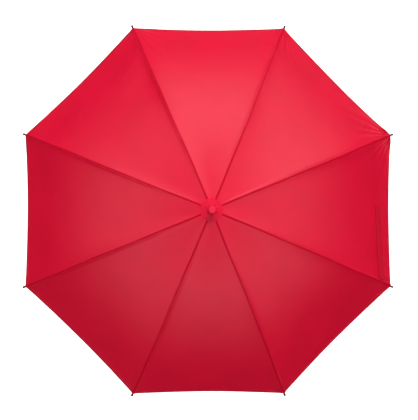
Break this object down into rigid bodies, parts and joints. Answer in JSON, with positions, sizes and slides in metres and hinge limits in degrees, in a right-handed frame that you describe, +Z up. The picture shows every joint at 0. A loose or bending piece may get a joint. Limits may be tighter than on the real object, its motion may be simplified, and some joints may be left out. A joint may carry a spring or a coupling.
{
  "type": "golf umbrella",
  "caption": "Open golf umbrella with a domed eight-panel canopy, folding ribs and stretchers, a sliding runner and a straight grip.",
  "frame": {"origin": "centre of the hand grip, on the shaft's axis", "axes": "+Z up the shaft to the ferrule; +X through the middle of the panel between rib_8 and rib_1"},
  "size_m": [1.2032, 1.2032, 0.984],
  "materials": {
    "canopy": "tightly woven red polyester with a slight sheen",
    "ferrule": "smooth moulded red plastic",
    "tips": "dark moulded caps",
    "black_steel": "black satin lacquer on steel",
    "bright_steel": "zinc-plated steel",
    "black_plastic": "satin moulded nylon",
    "grip": "fine-grained foam rubber"
  },
  "bodies": {
    "shaft": {"shaft_tube": "black_steel", "top_notch": "black_plastic", "notch_wire": "bright_steel", "crown_pin": "bright_steel", "stop_pin": "bright_steel", "ferrule": "ferrule", "rosette": "canopy", "handle_core": "black_plastic", "handle_grip": "grip", "handle_collar": "black_plastic", "handle_end_cap": "black_plastic"},
    "rib_1": {"rib_1": "black_steel", "rib_clip_1": "bright_steel", "rib_tip_1": "tips"},
    "stretcher_1": {"stretcher_1": "black_steel"},
    "panel_1": {"gore_1": "canopy"},
    "rib_2": {"rib_2": "black_steel", "rib_clip_2": "bright_steel", "rib_tip_2": "tips"},
    "stretcher_2": {"stretcher_2": "black_steel"},
    "panel_2": {"gore_2": "canopy"},
    "rib_3": {"rib_3": "black_steel", "rib_clip_3": "bright_steel", "rib_tip_3": "tips"},
    "stretcher_3": {"stretcher_3": "black_steel"},
    "panel_3": {"gore_3": "canopy"},
    "rib_4": {"rib_4": "black_steel", "rib_clip_4": "bright_steel", "rib_tip_4": "tips"},
    "stretcher_4": {"stretcher_4": "black_steel"},
    "panel_4": {"gore_4": "canopy"},
    "rib_5": {"rib_5": "black_steel", "rib_clip_5": "bright_steel", "rib_tip_5": "tips"},
    "stretcher_5": {"stretcher_5": "black_steel"},
    "panel_5": {"gore_5": "canopy"},
    "rib_6": {"rib_6": "black_steel", "rib_clip_6": "bright_steel", "rib_tip_6": "tips"},
    "stretcher_6": {"stretcher_6": "black_steel"},
    "panel_6": {"gore_6": "canopy"},
    "rib_7": {"rib_7": "black_steel", "rib_clip_7": "bright_steel", "rib_tip_7": "tips"},
    "stretcher_7": {"stretcher_7": "black_steel"},
    "panel_7": {"gore_7": "canopy"},
    "rib_8": {"rib_8": "black_steel", "rib_clip_8": "bright_steel", "rib_tip_8": "tips"},
    "stretcher_8": {"stretcher_8": "black_steel"},
    "panel_8": {"gore_8": "canopy", "closing_strap": "canopy"},
    "runner": {"runner": "black_plastic", "runner_wire": "bright_steel"},
    "top_catch": {"top_catch": "bright_steel"},
    "bottom_catch": {"bottom_catch": "bright_steel"}
  },
  "joints": [
    {"name": "rib_1_fold", "type": "hinge", "parent": "shaft", "child": "rib_1", "pos_m": [0.01293, 0.00536, 0.827], "axis": [-0.3827, 0.9239, 0], "range_deg": [0, 62]},
    {"name": "stretcher_1_joint", "type": "hinge", "parent": "rib_1", "child": "stretcher_1", "pos_m": [0.30678, 0.12707, 0.70837], "axis": [-0.3827, 0.9239, 0], "range_deg": [-124, 0]},
    {"name": "panel_1_gather", "type": "hinge", "parent": "rib_1", "child": "panel_1", "pos_m": [0.01072, 0.01072, 0.827], "axis": [-0.6182, -0.6182, -0.4854], "range_deg": [0, 45.49], "deforming": ["gore_1"]},
    {"name": "rib_2_fold", "type": "hinge", "parent": "shaft", "child": "rib_2", "pos_m": [0.00536, 0.01293, 0.827], "axis": [-0.9239, 0.3827, 0], "range_deg": [0, 62]},
    {"name": "stretcher_2_joint", "type": "hinge", "parent": "rib_2", "child": "stretcher_2", "pos_m": [0.12707, 0.30678, 0.70837], "axis": [-0.9239, 0.3827, 0], "range_deg": [-124, 0]},
    {"name": "panel_2_gather", "type": "hinge", "parent": "rib_2", "child": "panel_2", "pos_m": [0, 0.01515, 0.827], "axis": [0, -0.8743, -0.4854], "range_deg": [0, 45.49], "deforming": ["gore_2"]},
    {"name": "rib_3_fold", "type": "hinge", "parent": "shaft", "child": "rib_3", "pos_m": [-0.00536, 0.01293, 0.827], "axis": [-0.9239, -0.3827, 0], "range_deg": [0, 62]},
    {"name": "stretcher_3_joint", "type": "hinge", "parent": "rib_3", "child": "stretcher_3", "pos_m": [-0.12707, 0.30678, 0.70837], "axis": [-0.9239, -0.3827, 0], "range_deg": [-124, 0]},
    {"name": "panel_3_gather", "type": "hinge", "parent": "rib_3", "child": "panel_3", "pos_m": [-0.01072, 0.01072, 0.827], "axis": [0.6182, -0.6182, -0.4854], "range_deg": [0, 45.49], "deforming": ["gore_3"]},
    {"name": "rib_4_fold", "type": "hinge", "parent": "shaft", "child": "rib_4", "pos_m": [-0.01293, 0.00536, 0.827], "axis": [-0.3827, -0.9239, 0], "range_deg": [0, 62]},
    {"name": "stretcher_4_joint", "type": "hinge", "parent": "rib_4", "child": "stretcher_4", "pos_m": [-0.30678, 0.12707, 0.70837], "axis": [-0.3827, -0.9239, 0], "range_deg": [-124, 0]},
    {"name": "panel_4_gather", "type": "hinge", "parent": "rib_4", "child": "panel_4", "pos_m": [-0.01515, 0, 0.827], "axis": [0.8743, 0, -0.4854], "range_deg": [0, 45.49], "deforming": ["gore_4"]},
    {"name": "rib_5_fold", "type": "hinge", "parent": "shaft", "child": "rib_5", "pos_m": [-0.01293, -0.00536, 0.827], "axis": [0.3827, -0.9239, 0], "range_deg": [0, 62]},
    {"name": "stretcher_5_joint", "type": "hinge", "parent": "rib_5", "child": "stretcher_5", "pos_m": [-0.30678, -0.12707, 0.70837], "axis": [0.3827, -0.9239, 0], "range_deg": [-124, 0]},
    {"name": "panel_5_gather", "type": "hinge", "parent": "rib_5", "child": "panel_5", "pos_m": [-0.01072, -0.01072, 0.827], "axis": [0.6182, 0.6182, -0.4854], "range_deg": [0, 45.49], "deforming": ["gore_5"]},
    {"name": "rib_6_fold", "type": "hinge", "parent": "shaft", "child": "rib_6", "pos_m": [-0.00536, -0.01293, 0.827], "axis": [0.9239, -0.3827, 0], "range_deg": [0, 62]},
    {"name": "stretcher_6_joint", "type": "hinge", "parent": "rib_6", "child": "stretcher_6", "pos_m": [-0.12707, -0.30678, 0.70837], "axis": [0.9239, -0.3827, 0], "range_deg": [-124, 0]},
    {"name": "panel_6_gather", "type": "hinge", "parent": "rib_6", "child": "panel_6", "pos_m": [0, -0.01515, 0.827], "axis": [0, 0.8743, -0.4854], "range_deg": [0, 45.49], "deforming": ["gore_6"]},
    {"name": "rib_7_fold", "type": "hinge", "parent": "shaft", "child": "rib_7", "pos_m": [0.00536, -0.01293, 0.827], "axis": [0.9239, 0.3827, 0], "range_deg": [0, 62]},
    {"name": "stretcher_7_joint", "type": "hinge", "parent": "rib_7", "child": "stretcher_7", "pos_m": [0.12707, -0.30678, 0.70837], "axis": [0.9239, 0.3827, 0], "range_deg": [-124, 0]},
    {"name": "panel_7_gather", "type": "hinge", "parent": "rib_7", "child": "panel_7", "pos_m": [0.01072, -0.01072, 0.827], "axis": [-0.6182, 0.6182, -0.4854], "range_deg": [0, 45.49], "deforming": ["gore_7"]},
    {"name": "rib_8_fold", "type": "hinge", "parent": "shaft", "child": "rib_8", "pos_m": [0.01293, -0.00536, 0.827], "axis": [0.3827, 0.9239, 0], "range_deg": [0, 62]},
    {"name": "stretcher_8_joint", "type": "hinge", "parent": "rib_8", "child": "stretcher_8", "pos_m": [0.30678, -0.12707, 0.70837], "axis": [0.3827, 0.9239, 0], "range_deg": [-124, 0]},
    {"name": "panel_8_gather", "type": "hinge", "parent": "rib_8", "child": "panel_8", "pos_m": [0.01515, 0, 0.827], "axis": [-0.8743, 0, -0.4854], "range_deg": [0, 45.49], "deforming": ["gore_8", "closing_strap"]},
    {"name": "runner_pivot", "type": "hinge", "parent": "stretcher_1", "child": "runner", "pos_m": [0.01293, 0.00536, 0.58973], "axis": [-0.3827, 0.9239, 0], "range_deg": [0, 62]},
    {"name": "top_catch_press", "type": "slide", "parent": "shaft", "child": "top_catch", "axis": [-1, 0, 0], "range_m": [0, 0.004], "stiffness_N_per_m": 900, "springref_m": -0.001},
    {"name": "bottom_catch_press", "type": "slide", "parent": "shaft", "child": "bottom_catch", "axis": [-1, 0, 0], "range_m": [0, 0.004], "stiffness_N_per_m": 900, "springref_m": -0.001}
  ],
  "couplings": [
    {"joint": "stretcher_1_joint", "follows": "rib_1_fold", "ratio": -2},
    {"joint": "panel_1_gather", "follows": "rib_1_fold", "ratio": 0.73337},
    {"joint": "rib_2_fold", "follows": "rib_1_fold", "ratio": 1},
    {"joint": "stretcher_2_joint", "follows": "rib_1_fold", "ratio": -2},
    {"joint": "panel_2_gather", "follows": "rib_1_fold", "ratio": 0.73337},
    {"joint": "rib_3_fold", "follows": "rib_1_fold", "ratio": 1},
    {"joint": "stretcher_3_joint", "follows": "rib_1_fold", "ratio": -2},
    {"joint": "panel_3_gather", "follows": "rib_1_fold", "ratio": 0.73337},
    {"joint": "rib_4_fold", "follows": "rib_1_fold", "ratio": 1},
    {"joint": "stretcher_4_joint", "follows": "rib_1_fold", "ratio": -2},
    {"joint": "panel_4_gather", "follows": "rib_1_fold", "ratio": 0.73337},
    {"joint": "rib_5_fold", "follows": "rib_1_fold", "ratio": 1},
    {"joint": "stretcher_5_joint", "follows": "rib_1_fold", "ratio": -2},
    {"joint": "panel_5_gather", "follows": "rib_1_fold", "ratio": 0.73337},
    {"joint": "rib_6_fold", "follows": "rib_1_fold", "ratio": 1},
    {"joint": "stretcher_6_joint", "follows": "rib_1_fold", "ratio": -2},
    {"joint": "panel_6_gather", "follows": "rib_1_fold", "ratio": 0.73337},
    {"joint": "rib_7_fold", "follows": "rib_1_fold", "ratio": 1},
    {"joint": "stretcher_7_joint", "follows": "rib_1_fold", "ratio": -2},
    {"joint": "panel_7_gather", "follows": "rib_1_fold", "ratio": 0.73337},
    {"joint": "rib_8_fold", "follows": "rib_1_fold", "ratio": 1},
    {"joint": "stretcher_8_joint", "follows": "rib_1_fold", "ratio": -2},
    {"joint": "panel_8_gather", "follows": "rib_1_fold", "ratio": 0.73337},
    {"joint": "runner_pivot", "follows": "rib_1_fold", "ratio": 1}
  ]
}
